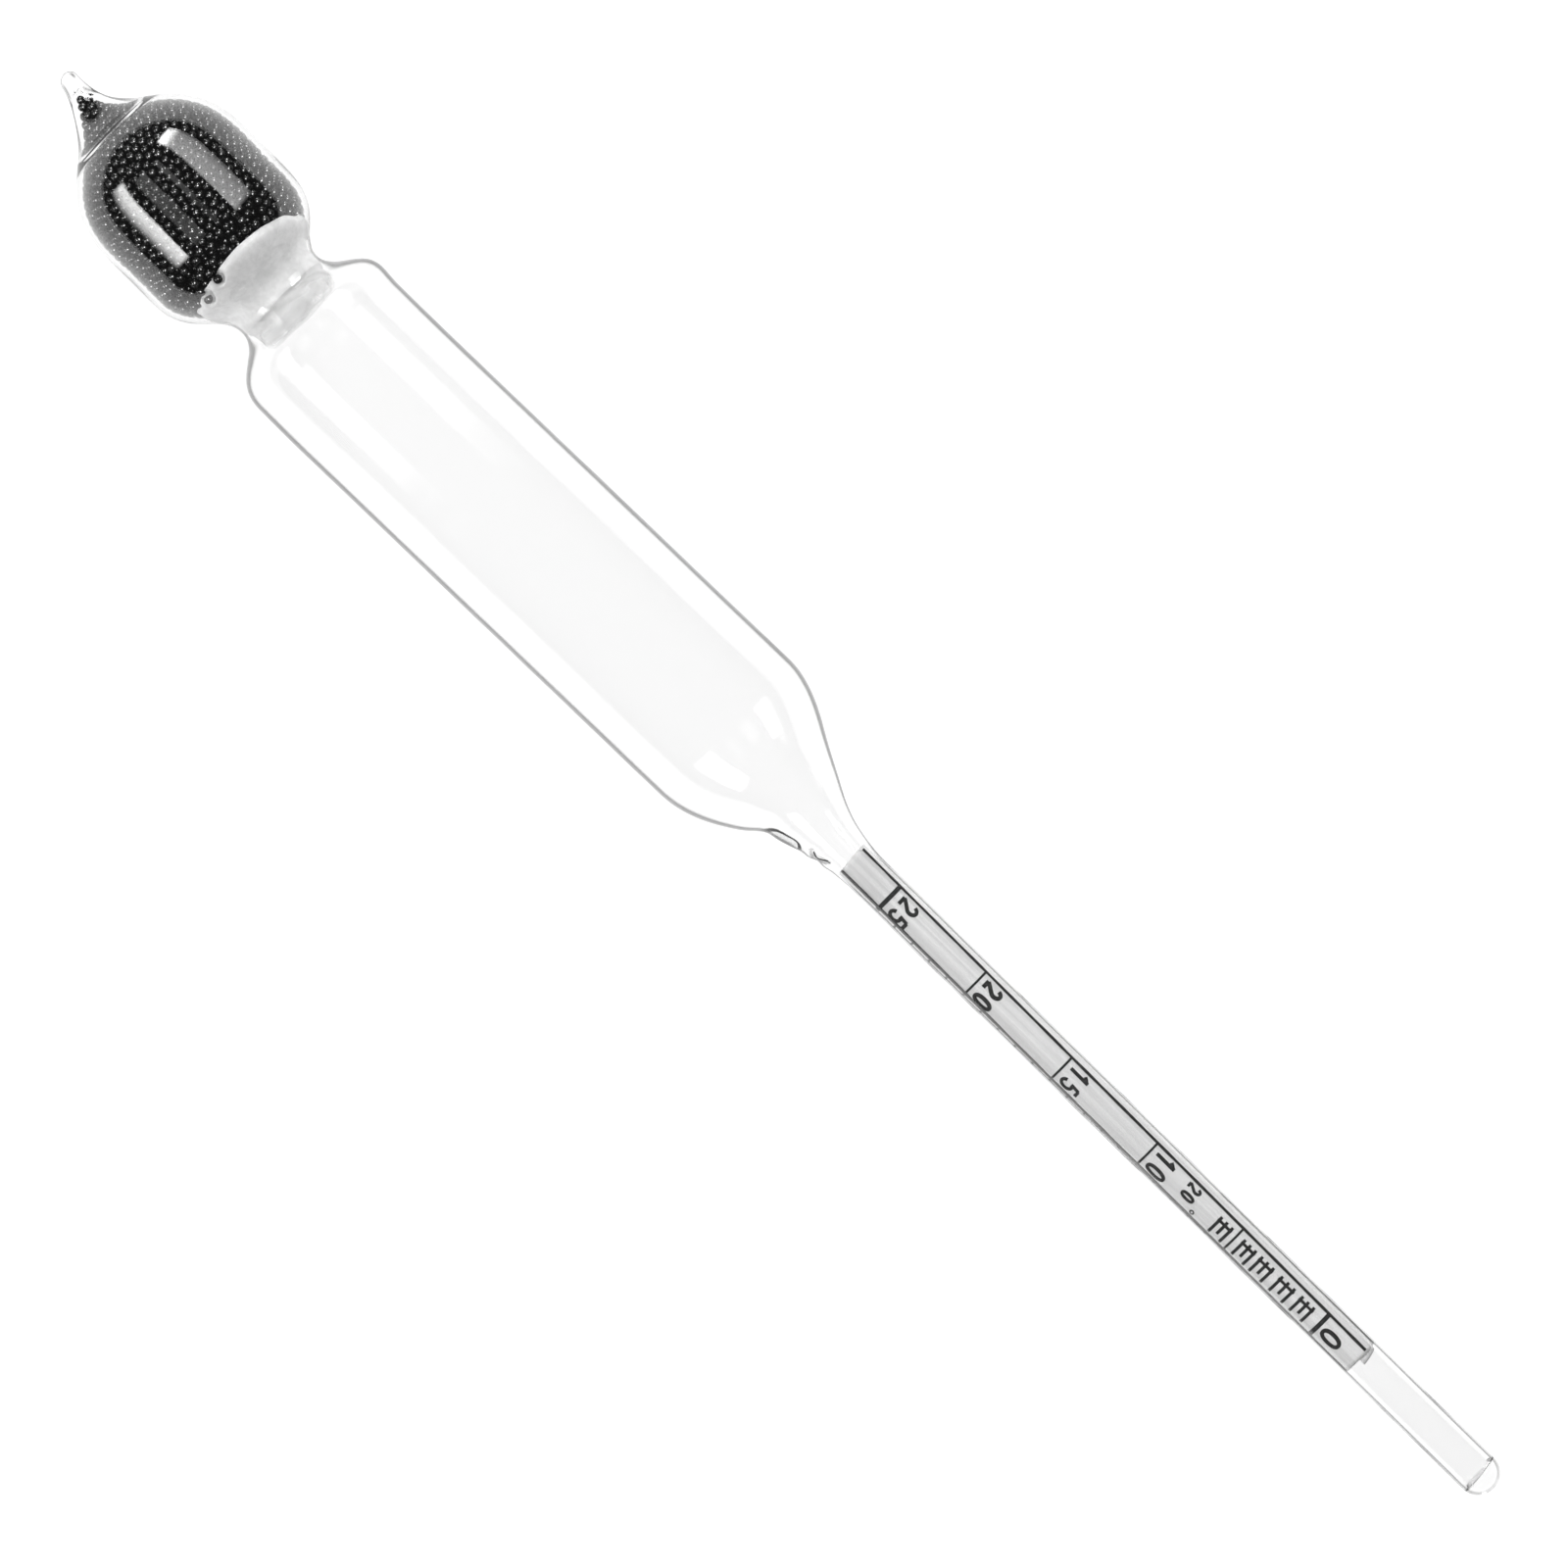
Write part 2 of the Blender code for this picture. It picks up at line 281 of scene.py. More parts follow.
def ramp(tree, source, low, high, low_value, high_value):
    """Maps a socket from one range to another, smoothly and clamped."""
    node = tree.nodes.new("ShaderNodeMapRange")
    node.interpolation_type = "SMOOTHSTEP"
    tree.links.new(source, node.inputs["Value"])
    limits = {"From Min": low, "From Max": high, "To Min": low_value, "To Max": high_value}
    for key, value in limits.items():
        node.inputs[key].default_value = value
    return node.outputs["Result"]


def multiply(tree, first, second):
    """The product of two sockets."""
    node = tree.nodes.new("ShaderNodeMath")
    node.operation = "MULTIPLY"
    tree.links.new(first, node.inputs[0])
    tree.links.new(second, node.inputs[1])
    return node.outputs["Value"]


def grey(tree, value):
    """A neutral colour socket of the given brightness."""
    node = tree.nodes.new("ShaderNodeCombineColor")
    for socket in list(node.inputs)[:3]:
        tree.links.new(value, socket)
    return node.outputs["Color"]


def bump(tree, shader, height, strength, distance):
    """Roughens a shader's normals by a height socket."""
    node = add_node(tree, "ShaderNodeBump", Strength=strength, Distance=distance)
    tree.links.new(height, node.inputs["Height"])
    tree.links.new(node.outputs["Normal"], shader.inputs["Normal"])


def attribute(tree, name):
    """The value socket of a per-point attribute."""
    node = tree.nodes.new("ShaderNodeAttribute")
    node.attribute_name = name
    return node.outputs["Fac"]


def glass_material():
    """Clear glass with painted shade where it is seen edge on, along the stem's inner rim and over the fused
    folds.
    """
    material, tree, shader = new_material("clear_glass_look")
    shader.inputs["Roughness"].default_value = 0.0
    shader.inputs["IOR"].default_value = 1.5
    shader.inputs["Transmission Weight"].default_value = 1.0
    facing = add_node(tree, "ShaderNodeLayerWeight", Blend=0.5).outputs["Facing"]
    # Painted shade: a dark rim where the glass is seen edge on, and a softer painted shade inside it.
    dark = ramp(tree, facing, 0.62, 0.75, 0.0, 1.0)
    dark = multiply(tree, dark, ramp(tree, facing, 0.86, 0.96, 1.0, 0.5))
    dark = multiply(tree, dark, attribute(tree, "edge"))
    shade = ramp(tree, dark, 0.0, 1.0, 0.995, 0.03)
    soft = multiply(tree, ramp(tree, facing, 0.36, 0.6, 0.0, 1.0), attribute(tree, "edge"))
    shade = multiply(tree, shade, ramp(tree, soft, 0.0, 1.0, 1.0, 0.93))
    # A painted dark line along the stem's inner rim, and a trace of grey all over the stem.
    line = ramp(tree, facing, 0.46, 0.54, 0.0, 1.0)
    line = multiply(tree, line, ramp(tree, facing, 0.62, 0.72, 1.0, 0.0))
    line = multiply(tree, line, attribute(tree, "line"))
    shade = multiply(tree, shade, ramp(tree, line, 0.0, 1.0, 1.0, 0.15))
    shade = multiply(tree, shade, ramp(tree, attribute(tree, "line"), 0.0, 1.0, 1.0, 0.98))
    # Painted shade over the fused folds and the cavity's far end.
    shade = multiply(tree, shade, ramp(tree, attribute(tree, "weld"), 0.0, 1.0, 1.0, 0.06))
    tree.links.new(grey(tree, shade), shader.inputs["Base Color"])
    bump(tree, shader, noise(tree, 0.35, 3.0), 0.1, 0.02 * MM)
    return material


def shot_material():
    """Dull dark steel, each ball a little lighter or darker than the next."""
    material, tree, shader = new_material("dark_shot_look")
    shader.inputs["Metallic"].default_value = 1.0
    shader.inputs["Specular Tint"].default_value = (0.25, 0.25, 0.25, 1)
    tone = ramp(tree, attribute(tree, "tone"), 0.0, 1.0, 0.044, 0.08)
    dirt = ramp(tree, noise(tree, 2.4), 0.35, 0.7, 0.7, 1.1)
    tree.links.new(grey(tree, multiply(tree, tone, dirt)), shader.inputs["Base Color"])
    tree.links.new(ramp(tree, noise(tree, 5.0), 0.3, 0.7, 0.23, 0.32), shader.inputs["Roughness"])
    return material


def plug_material():
    """Poured wax full of small crazes, mottled grey, that thins out to nothing at its top."""
    material, tree, shader = new_material("plug_wax_look")
    shader.inputs["Roughness"].default_value = 0.55
    mottle = ramp(tree, noise(tree, 0.33, 5.0, 0.6), 0.3, 0.72, 0.76, 0.885)
    mottle = multiply(tree, mottle, attribute(tree, "band"))
    speck = ramp(tree, noise(tree, 1.9, 3.0), 0.3, 0.7, 0.93, 1.05)
    tree.links.new(grey(tree, multiply(tree, mottle, speck)), shader.inputs["Base Color"])
    tree.links.new(attribute(tree, "solid"), shader.inputs["Alpha"])
    bump(tree, shader, noise(tree, 1.2, 5.0, 0.65), 0.4, 0.12 * MM)
    return material


def paper_material():
    """Thin card with long faint streaks down its length and a fine tooth, and painted shade at its lowest
    end.
    """
    material, tree, shader = new_material("scale_paper_look")
    shader.inputs["Roughness"].default_value = 0.8
    streaks = ramp(tree, noise(tree, 1.5, 3.0, 0.6, (0.02, 1, 1)), 0.35, 0.68, 0.74, 0.9)
    # Painted shade darkens the card's lowest end.
    streaks = multiply(tree, streaks, attribute(tree, "painted_low_shade"))
    fibre = ramp(tree, noise(tree, 7.0, 3.0), 0.3, 0.7, 0.95, 1.04)
    tree.links.new(grey(tree, multiply(tree, streaks, fibre)), shader.inputs["Base Color"])
    bump(tree, shader, noise(tree, 5.0, 4.0), 0.25, 0.03 * MM)
    return material


def ink_material():
    """Black printing ink, broken up where the paper's tooth shows through."""
    material, tree, shader = new_material("print_ink_look")
    shader.inputs["Roughness"].default_value = 0.5
    patch = ramp(tree, noise(tree, 6.0, 3.0), 0.45, 0.8, 0.008, 0.05)
    tree.links.new(grey(tree, patch), shader.inputs["Base Color"])
    return material


def glue_material():
    """A dried drop of grey glue, a little mottled."""
    material, tree, shader = new_material("dried_glue_look")
    shader.inputs["Roughness"].default_value = 0.3
    tone = ramp(tree, noise(tree, 2.0), 0.3, 0.7, 0.62, 0.75)
    tree.links.new(grey(tree, tone), shader.inputs["Base Color"])
    return material


# ---------------------------------------------------------------- glass

# The middle of the weld's notch and of its wrinkled part.
NOTCH = 107.7
WRINKLE = 113.4


def weld_dent(x, angle):
    """How far the rough weld pulls the wall in on the -Y side of the cone."""
    side = np.exp(-((np.angle(np.exp(1j * (angle - math.pi / 2))) / 0.75) ** 2))
    notch = 0.5 * np.exp(-(((x - NOTCH) / 1.3) ** 2))
    wrinkle = 0.1 * np.sin(2.9 * x + 3 * angle) * np.exp(-(((x - WRINKLE) / 1.6) ** 2))
    return side * (notch + wrinkle)


def fold_shade_and_dent(x, angle):
    """How strong the painted shade over the fused folds of the cone and the nib is, from 0 to 1; the same
    mask also dents the cavity's wall a little.
    """
    off = np.degrees(np.angle(np.exp(1j * (angle - math.pi / 2))))
    strip = np.exp(-(((x - 109.6) / 1.6) ** 4)) * np.exp(-(((off + 14) / 16) ** 2))
    hook = np.exp(-(((x - 113.6) / 1.2) ** 4)) * np.exp(-(((off + 24 + 9 * np.sin(2.2 * x)) / 11) ** 2))
    turn = np.degrees(np.angle(np.exp(1j * angle)))
    nib = np.exp(-(((x - 1.6) / 0.95) ** 4)) * np.exp(-(((turn - 52) / 11) ** 2))
    nib = nib + np.exp(-(((x - 3.2) / 0.85) ** 4)) * np.exp(-(((turn + 33 + 21 * (x - 2.4)) / 10) ** 2))
    nib = nib + np.exp(-(((x - 0.8) / 0.4) ** 4)) * np.exp(-(((turn + 41) / 14) ** 2))
    return np.clip(strip + 0.8 * hook + 0.85 * nib, 0, 1)


def make_glass():
    """The whole glass wall as one sealed shell: an outer surface and the surface of its cavity."""
    columns = 120
    angles = np.arange(columns) * 2 * np.pi / columns
    arc = np.linspace(0, np.pi / 2, 10)[1:-1]
    nib = NIB_RADIUS * (1 - np.cos(arc))
    dome = OUTLINE[-1][0] + STEM_RADIUS * np.sin(arc)
    rows = np.concatenate([
        nib,
        np.arange(NIB_RADIUS, 7.0, 0.3),
        np.arange(7.0, 8.5, 0.12),
        np.arange(8.5, 42.0, 0.3),
        np.arange(42.0, 96.0, 2.0),
        np.arange(96.0, 106.0, 0.4),
        np.arange(106.0, 117.0, 0.15),
        np.arange(117.0, 121.0, 0.5),
        np.arange(121.0, 206.0, 3.0),
        np.arange(206.4, OUTLINE[-1][0], 0.4),
        [OUTLINE[-1][0]],
        dome,
    ])
    x, angle = np.meshgrid(rows, angles, indexing="ij")
    ripple = 0.012 * wave(x, angle, 3) * np.clip((x - 3) / 6, 0, 1)
    ripple = ripple + 0.05 * np.exp(-(((x - CREASE) / 0.3) ** 2))
    radius = outside(rows)[:, None] * (1 + 0 * angle) + ripple - weld_dent(x, angle)
    outer = place(x, angle, radius).reshape(-1, 3)
    outer_poles = place(np.array([0.0, TOTAL_LENGTH]), 0.0, 0.0)

    bore_end = TOTAL_LENGTH - STEM_END_THICKNESS
    first, last = BOWL_EDGE, bore_end - BORE_END_DISH
    start_radius, end_radius = inside(np.array([first, last]))
    bowl = np.linspace(0, np.pi / 2, 8)[1:-1]
    bowl_x = first - (first - BORE_BOTTOM) * np.cos(bowl)
    cap = np.linspace(0, np.pi / 2, 12)[1:-1]
    cap_x = last + BORE_END_DISH * np.sin(cap) ** 1.6
    middle = rows[(rows > first) & (rows < last)]
    inner_x = np.concatenate([bowl_x, [first], middle, [last], cap_x])
    inner_r = np.concatenate([
        start_radius * np.sin(bowl), [start_radius], inside(middle), [end_radius], end_radius * np.cos(cap),
    ])
    x_in, angle_in = np.meshgrid(inner_x, angles, indexing="ij")
    x_in = x_in + 0.22 * np.clip(x_in - last + 1, 0, 1) * inner_r[:, None] / 2 * np.sin(angle_in + 0.4)
    taper = np.clip((x_in - 3.3) / 6, 0, 1) * np.clip((TOTAL_LENGTH - 4 - x_in) / 4, 0, 1)
    ripple_in = 0.02 * wave(x_in, angle_in, 5) * taper
    fold = weld_dent(x_in, angle_in) + 0.3 * fold_shade_and_dent(x_in, angle_in)
    inner = place(x_in, angle_in, np.maximum(inner_r[:, None] + ripple_in - fold, 0.03)).reshape(-1, 3)
    inner_poles = place(np.array([BORE_BOTTOM, bore_end]), 0.0, 0.0)

    outer_points = np.concatenate([outer, outer_poles])
    outer_faces = ring_faces(len(rows), columns, 0, len(outer), len(outer) + 1)
    outer_faces = turned_out(outer_points, outer_faces)
    inner_points = np.concatenate([inner, inner_poles])
    inner_faces = ring_faces(len(inner_x), columns, 0, len(inner), len(inner) + 1)
    inner_faces = turned_out(inner_points, inner_faces, inward=True) + len(outer_points)
    points = np.concatenate([outer_points, inner_points])
    stations = np.concatenate([x.ravel(), [0, TOTAL_LENGTH], x_in.ravel(), [BORE_BOTTOM, bore_end]])
    turn = np.concatenate([angle.ravel(), [0, 0], angle_in.ravel(), [0, 0]])
    on_outside = np.arange(len(points)) < len(outer_points)
    # Painted shade over the cavity's far end, on the inside of the glass only.
    painted_cap_shade = 0.5 * np.clip((stations - CAP_SHADE_START) / 0.2, 0, 1) * ~on_outside
    # Masks for the glass's painted shade: at the rim seen edge on, along the stem's inner rim, over the fused
    # folds and on the cavity's far end.
    floats = {
        "edge": smooth_table(RIM_SHADE_STRENGTH, stations) * on_outside,
        "line": smooth_table(PAINTED_RIM_LINE_STRENGTH, stations) * on_outside,
        "weld": fold_shade_and_dent(stations, turn) + painted_cap_shade,
    }
    faces = np.concatenate([outer_faces, inner_faces])
    glass = add_mesh("glass_envelope", points, faces, glass_material(), floats=floats)
    glass.visible_shadow = False
    glass.visible_diffuse = False
    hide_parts("tip_seal", "ballast_bulb", "float_body", "stem_tube")
    return glass


# ---------------------------------------------------------------- shot

SHOT_RADIUS = 0.5
SHOT_COUNT = 6450
HEAP_TOP = 29.6
SETTLING_STEPS = 400
FIRST_PULL = 0.003
PULL_FADE = 1.3
CROWDING = 0.35


def shot_limits():
    """Stations and greatest radii for a ball's centre, where it just touches the glass."""
    stations = np.linspace(1.2, 33.0, 900)
    x, r = inset(stations, smooth_table(WALL, stations) + SHOT_RADIUS + 0.02)
    keep = (r > 0.12) & (x > BORE_BOTTOM + SHOT_RADIUS + 0.2)
    return x[keep], r[keep]


def close_pairs(points, reach):
    """Index pairs of points nearer than reach, found with a grid of cells."""
    cells = np.floor(points / (reach * 1.02)).astype(int)
    cells -= cells.min(0) - 1
    spans = cells.max(0) + 2
    keys = (cells[:, 0] * spans[1] + cells[:, 1]) * spans[2] + cells[:, 2]
    order = np.argsort(keys, kind="stable")
    ordered = keys[order]
    count = len(points)
    firsts, seconds = [], []
    sides = (-1, 0, 1)
    for i, j, k in [(i, j, k) for i in sides for j in sides for k in sides if (i, j, k) >= (0, 0, 0)]:
        shift = (i * spans[1] + j) * spans[2] + k
        low = np.searchsorted(ordered, ordered + shift, "left")
        high = np.searchsorted(ordered, ordered + shift, "right")
        if (i, j, k) == (0, 0, 0):
            low = np.arange(count) + 1
        many = np.maximum(high - low, 0)
        total = many.sum()
        source = np.repeat(np.arange(count), many)
        within = np.arange(total) - np.repeat(np.cumsum(many) - many, many)
        firsts.append(order[source])
        seconds.append(order[np.repeat(low, many) + within])
    first, second = np.concatenate(firsts), np.concatenate(seconds)
    gap = points[second] - points[first]
    distance = np.linalg.norm(gap, axis=1)
    near = distance < reach
    return first[near], second[near], gap[near], distance[near]


def settle_shot():
    """Drops the balls into the bulb and lets them push each other apart. Gives centres as x, across, up."""
    rng = np.random.default_rng(SEED)
    limit_x, limit_r = shot_limits()

    def limit(x):
        return np.interp(x, limit_x, limit_r)

    bins = np.linspace(limit_x[0], HEAP_TOP, 400)
    weight = limit(bins) ** 2
    x = rng.choice(bins, SHOT_COUNT, p=weight / weight.sum())
    angle = rng.uniform(0, 2 * np.pi, SHOT_COUNT)
    r = np.sqrt(rng.random(SHOT_COUNT)) * limit(x)
    balls = np.stack([x, r * np.sin(angle), r * np.cos(angle)], 1)
    reach = 2 * SHOT_RADIUS
    for step in range(SETTLING_STEPS):
        balls[:, 0] -= FIRST_PULL * max(0.0, 1 - PULL_FADE * step / SETTLING_STEPS)
        first, second, gap, distance = close_pairs(balls, reach)
        push = gap * ((reach - distance) / np.maximum(distance, 1e-6) * 0.5)[:, None]
        touching = np.bincount(first, minlength=SHOT_COUNT) + np.bincount(second, minlength=SHOT_COUNT)
        share = 1 / np.maximum(1, touching * CROWDING)
        for axis in range(3):
            shift = np.bincount(second, push[:, axis], SHOT_COUNT)
            shift -= np.bincount(first, push[:, axis], SHOT_COUNT)
            balls[:, axis] += shift * share
        balls[:, 0] = np.maximum(balls[:, 0], limit_x[0])
        r = np.hypot(balls[:, 1], balls[:, 2])
        slope = (limit(balls[:, 0] + 0.02) - limit(balls[:, 0] - 0.02)) / 0.04
        over = np.maximum(0, r - limit(balls[:, 0])) / (1 + slope**2)
        balls[:, 1:] *= (1 - over / np.maximum(r, 1e-9))[:, None]
        balls[:, 0] = np.maximum(balls[:, 0] + over * slope, limit_x[0])
    return balls


def ball_mesh(subdivisions):
    """Points and triangles of a ball of radius 1."""
    shape = bmesh.new()
    bmesh.ops.create_icosphere(shape, subdivisions=subdivisions, radius=1.0)
    points = np.array([v.co[:] for v in shape.verts])
    faces = np.array([[v.index for v in f.verts] for f in shape.faces])
    shape.free()
    return points, faces


def add_balls(name, centres, subdivisions, material, rng):
    """One piece of loose balls. Centres are x, across towards -Y, and up, in millimetres."""
    unit, unit_faces = ball_mesh(subdivisions)
    count = len(centres)
    sizes = SHOT_RADIUS * rng.uniform(0.94, 1.0, count)
    x = centres[:, 0]
    middle = np.stack([
        CAD_LOW.x + x * MM,
        (wander(x) - centres[:, 1]) * MM,
        CAD_LOW.z + (BULB_RADIUS + centres[:, 2]) * MM,
    ], 1)
    turns = rng.normal(size=(count, 3, 3))
    turns = np.linalg.qr(turns)[0]
    points = np.einsum("nij,vj->nvi", turns, unit) * (sizes * MM)[:, None, None] + middle[:, None]
    flips = np.linalg.det(turns) < 0
    faces = np.broadcast_to(unit_faces, (count,) + unit_faces.shape).copy()
    faces[flips] = faces[flips][:, :, ::-1]
    faces = faces + (np.arange(count) * len(unit))[:, None, None]
    tone = np.repeat(rng.random(count), len(unit))
    return add_mesh(
        name, points.reshape(-1, 3), faces.reshape(-1, 3), material, floats={"tone": tone}
    )


# Balls that stand out of the heap against the front of the glass: station and distance towards -Y.
STRAY_SHOT = (
    (27.55, 5.5), (27.0, 3.35), (25.6, 5.2), (25.5, 2.35), (25.4, 0.6), (25.4, -0.75), (25.6, -2.2),
    (25.9, -3.35),
)
SHOT_BELOW_WAX = 0.4
FINE_SHOT_DEPTH = 0.62
CONE_TOP = 8


def make_shot():
    """The heap of shot up to the wax: fine balls near the glass, in layers, and coarse ones behind them."""
    balls = settle_shot()
    limit_x, limit_r = shot_limits()
    around = np.arctan2(balls[:, 1], balls[:, 2])
    surface = PLUG_LEVEL - SHOT_BELOW_WAX - PLUG_TILT * balls[:, 2]
    surface = surface + 0.15 * wave(0, around, 31, most_turns=16)
    balls = balls[balls[:, 0] < surface]
    stray = np.array([
        (x, t, math.sqrt(np.interp(x, limit_x, limit_r) ** 2 - t * t)) for x, t in STRAY_SHOT
    ])
    balls = balls[np.linalg.norm(balls[:, None] - stray[None], axis=2).min(1) > 1.9 * SHOT_RADIUS]
    balls = np.concatenate([balls, stray])
    depth = np.interp(balls[:, 0], limit_x, limit_r) - np.hypot(balls[:, 1], balls[:, 2])
    shown = (depth < FINE_SHOT_DEPTH) | (balls[:, 0] < CONE_TOP)
    material = shot_material()
    rng = np.random.default_rng(SEED + 1)
    layers = 5
    near_glass = balls[shown]
    near_glass = near_glass[np.argsort(near_glass[:, 0])]
    parts = [
        add_balls(f"shot_layer_{index + 1}", chosen, 3, material, rng)
        for index, chosen in enumerate(np.array_split(near_glass, layers))
    ]
    parts.append(add_balls("shot_core", balls[~shown], 1, material, rng))
    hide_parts("shot_charge")
    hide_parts(*[f"top_shot_{i:02d}" for i in range(1, 37)])
    return parts


# ---------------------------------------------------------------- plug

PLUG_LEVEL = 28.9
PLUG_TILT = 0.3
PLUG_TOP = 35.1
PLUG_BASE_DOME = 0.3
PLUG_BASE_RADIUS = 8.9
DRIP_ANGLE = 5.86
NECK_START = 32.3

# By station: how far the wax reaches into the glass, the radius of its free end above the neck, its
# brightness and its opacity.
PLUG_WETTING = ((20, 0.08), (29, 0.08), (30.2, -0.04), (31.4, 0.06), (33.4, 0.06), (34, 0), (40, 0))
PLUG_CORE = ((20, 99.0), (NECK_START, 5.6), (33.6, 5.1), (35, 4.95), (36, 4.7), (37, 4.0))
PLUG_TONE = ((20, 1), (31, 1), (33.2, 0.95), (34.6, 0.93), (40, 0.95))
PLUG_OPACITY = ((20, 1), (32.0, 1), (33.0, 0.75), (34.2, 0.4), (35, 0.12), (40, 0.05))


def make_plug():
    """The wax: it meets the shot on a slant, wets the glass of the neck and ends ragged above it."""
    columns, levels = 160, 90
    angle = np.arange(columns) * 2 * np.pi / columns
    drip = 0.9 * np.exp(-(((angle - DRIP_ANGLE) / 0.12) ** 2))
    top = PLUG_TOP + 0.2 * wave(0, angle, 11, most_turns=7) + drip
    bottom = PLUG_LEVEL - PLUG_TILT * PLUG_BASE_RADIUS * np.cos(angle)
    bottom = bottom + 0.32 * wave(0, angle, 12, most_turns=22)
    fraction = np.linspace(0, 1, levels)[:, None]
    x = bottom + (top - bottom) * fraction
    wetting = smooth_table(PLUG_WETTING, x) - 0.4 * np.exp(-(((x - bottom) / 0.5) ** 2))
    r = inside(x) + wetting + 0.02 * wave(x, angle, 13, longest=5, shortest=1.2, most_turns=14)
    # The first two stray balls stick into the wax from its upper side.
    for ball_x, ball_t in STRAY_SHOT[:2]:
        away = np.hypot(x - ball_x, inside(x) * np.sin(angle) - ball_t) + 9 * (np.cos(angle) < 0)
        r = r - 1.2 * np.exp(-((away / 0.62) ** 4))
    core = smooth_table(PLUG_CORE, x, 0.3)
    core = core + 0.1 * wave(x, angle, 14, longest=3, shortest=1, most_turns=9)
    r = np.where(x > NECK_START, np.minimum(r, core), r)
    rings_x, rings_r = [x], [r]
    for share in (0.9, 0.7, 0.45, 0.2):
        rings_r.append((r[-1] * share)[None])
        dip = 0.5 * (1 - share) + 0.1 * wave(share * 9, angle, 15, most_turns=5)
        rings_x.append((top - dip)[None] * share + (1 - share) * PLUG_TOP)
    lower_x, lower_r = [], []
    for share in (0.25, 0.5, 0.75, 0.93):
        lower_r.append((r[0] * share)[None])
        lower_x.append((PLUG_LEVEL + PLUG_BASE_DOME + (bottom - PLUG_LEVEL) * share)[None])
    x = np.concatenate(lower_x + rings_x)
    r = np.concatenate(lower_r + rings_r)
    ragged = x + 0.4 * wave(x, angle, 16, longest=3, shortest=1, most_turns=12)
    floats = {
        "band": np.append(smooth_table(PLUG_TONE, x, 0.3), [1.0, 1.0]),
        "solid": np.append(smooth_table(PLUG_OPACITY, ragged, 0.2), [1.0, 0.15]),
    }
    points = place(x, np.broadcast_to(angle, x.shape), r).reshape(-1, 3)
    poles = place(np.array([PLUG_LEVEL + PLUG_BASE_DOME, PLUG_TOP]), 0.0, 0.0)
    faces = ring_faces(len(x), columns, 0, len(points), len(points) + 1)
    points = np.concatenate([points, poles])
    faces = turned_out(points, faces)
    plug = add_mesh("wax_plug", points, faces, plug_material(), floats=floats)
    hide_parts("retaining_plug")
    return plug


# ---------------------------------------------------------------- scale

CARD_RADIUS = 2.1
CARD_THICKNESS = 0.09
CARD_BOTTOM = 116.0
CARD_TOP = 190.45
CARD_START, CARD_FINISH = -67.0, 345.0
LAP_START = 281
# Painted shade on the card by station: its lowest end is darker.
CARD_LOW_SHADE = ((116, 0.92), (121.4, 0.92), (122, 1.0), (200, 1.0))

# The printed column's half width and a second rule in degrees, then where the rules start, and the
# scale's zero line and unit, in millimetres.
COLUMN_HALF = 46.2
EDGE_RULE = -96.0
RULE_START = 116.2
ZERO_LINE = 184.88
SCALE_UNIT = 2.526

# Each number: text, apparent middle and width across, lowest and highest station, and stroke width.
NUMBERS = (
    ("0", 0.7, 1.75, 185.25, 188.25, 0.45),
    ("10", 0.33, 2.75, 160.1, 163.05, 0.4),
    ("15", 0.27, 2.75, 147.5, 150.35, 0.38),
    ("20", 0.26, 2.9, 134.85, 137.65, 0.46),
    ("25", 0.21, 3.0, 122.5, 125.3, 0.42),
    ("20", 0.1, 2.05, 164.7, 166.75, 0.32),
)
DEGREE_RING = (167.2, 1.45, 0.22)
FILLER_MARKS = ((181.3, 183.6), (178.3, 180.8), (175.4, 177.7), (172.9, 175.1), (169.5, 171.7))
FILLER_CENTRE, FILLER_WIDTH = 0.64, 2.0


def column_centre(x):
    """The angle, in degrees, of the middle of the printed column: the card is rolled with a slight twist."""
    return 2.0 + 0.27 * (x - 119.5)


def card_radius(unrolled):
    """The card's radius: it tucks under its own edge past the end of the outer lap."""
    return CARD_RADIUS - 0.13 * np.clip((unrolled - 230.0) / 60.0, 0, 1)


